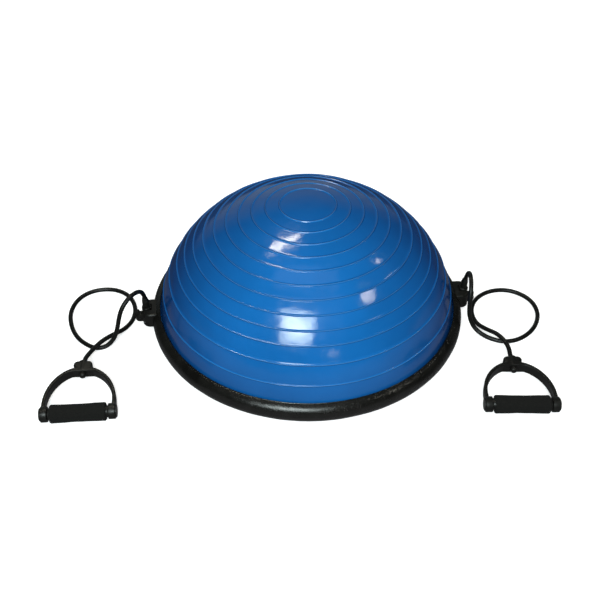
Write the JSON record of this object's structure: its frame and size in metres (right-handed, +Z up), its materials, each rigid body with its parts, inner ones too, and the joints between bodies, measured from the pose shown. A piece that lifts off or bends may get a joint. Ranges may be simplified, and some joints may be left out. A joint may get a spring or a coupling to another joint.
{
  "type": "balance dome trainer",
  "caption": "Inflated half-ball on a rigid round platform with a rolled rim, with an elastic tube and D-handle clipped to each side.",
  "frame": {"origin": "on the floor under the middle of the dome, at the centre foot's underside", "axes": "+Z up through the dome's top; +X through the right lug, -X through the left one; the handles lie on the -Y side"},
  "size_m": [0.9178, 0.5935, 0.2555],
  "materials": {
    "dome": "glossy blue PVC",
    "rim": "black, fine leather grain",
    "platform": "black moulded",
    "soft": "black soft rubber",
    "hard": "black satin moulded",
    "tube": "black latex, satin",
    "foam": "black closed-cell foam, matt",
    "steel": "steel, black zinc"
  },
  "bodies": {
    "root": {"base_board": "platform", "base_screw_1": "steel", "base_screw_2": "steel", "base_screw_3": "steel", "base_screw_4": "steel", "base_screw_5": "steel", "base_screw_6": "steel", "base_screw_7": "steel", "base_screw_8": "steel", "bladder_floor": "dome", "clip_body_left": "hard", "clip_body_right": "hard", "clip_pin_left": "steel", "clip_pin_right": "steel", "dome_bladder": "dome", "end_cap_a_left": "hard", "end_cap_a_right": "hard", "end_cap_b_left": "hard", "end_cap_b_right": "hard", "foot_0": "soft", "foot_1": "soft", "foot_2": "soft", "foot_3": "soft", "foot_4": "soft", "foot_5": "soft", "foot_6": "soft", "gate_pin_left": "steel", "gate_pin_right": "steel", "grip_axle_left": "steel", "grip_axle_right": "steel", "handle_yoke_left": "hard", "handle_yoke_right": "hard", "hub_bush_left": "hard", "hub_bush_right": "hard", "lug_left": "hard", "lug_right": "hard", "lug_screw_back_left": "steel", "lug_screw_back_right": "steel", "lug_screw_front_left": "steel", "lug_screw_front_right": "steel", "rim_bumper": "rim", "stopper_plug_left": "hard", "stopper_plug_right": "hard", "tube_left": "tube", "tube_plug_left": "hard", "tube_plug_right": "hard", "tube_right": "tube", "valve_seat": "soft"},
    "gate_left": {"clip_gate_left": "hard"},
    "gate_right": {"clip_gate_right": "hard"},
    "grip_left": {"foam_sleeve_left": "foam", "grip_core_left": "hard"},
    "grip_right": {"foam_sleeve_right": "foam", "grip_core_right": "hard"},
    "valve_plug": {"valve_plug": "soft"}
  },
  "joints": [
    {"name": "valve_pull", "type": "slide", "parent": "root", "child": "valve_plug", "axis": [0, 0, -1], "range_m": [0, 0.009]},
    {"name": "grip_spin_left", "type": "hinge", "parent": "root", "child": "grip_left", "pos_m": [-0.41, -0.2324, 0.0157], "axis": [0.9997, -0.0227, 0], "continuous": true},
    {"name": "gate_open_left", "type": "hinge", "parent": "root", "child": "gate_left", "pos_m": [-0.314, 0, 0.019], "axis": [0, -1, 0], "range_deg": [0, 60], "stiffness_Nm_per_rad": 0.05, "springref_deg": -11.46},
    {"name": "grip_spin_right", "type": "hinge", "parent": "root", "child": "grip_right", "pos_m": [0.3388, -0.2837, 0.0157], "axis": [0.9952, -0.0976, 0], "continuous": true},
    {"name": "gate_open_right", "type": "hinge", "parent": "root", "child": "gate_right", "pos_m": [0.314, 0, 0.019], "axis": [0, 1, 0], "range_deg": [0, 60], "stiffness_Nm_per_rad": 0.05, "springref_deg": -11.46}
  ]
}
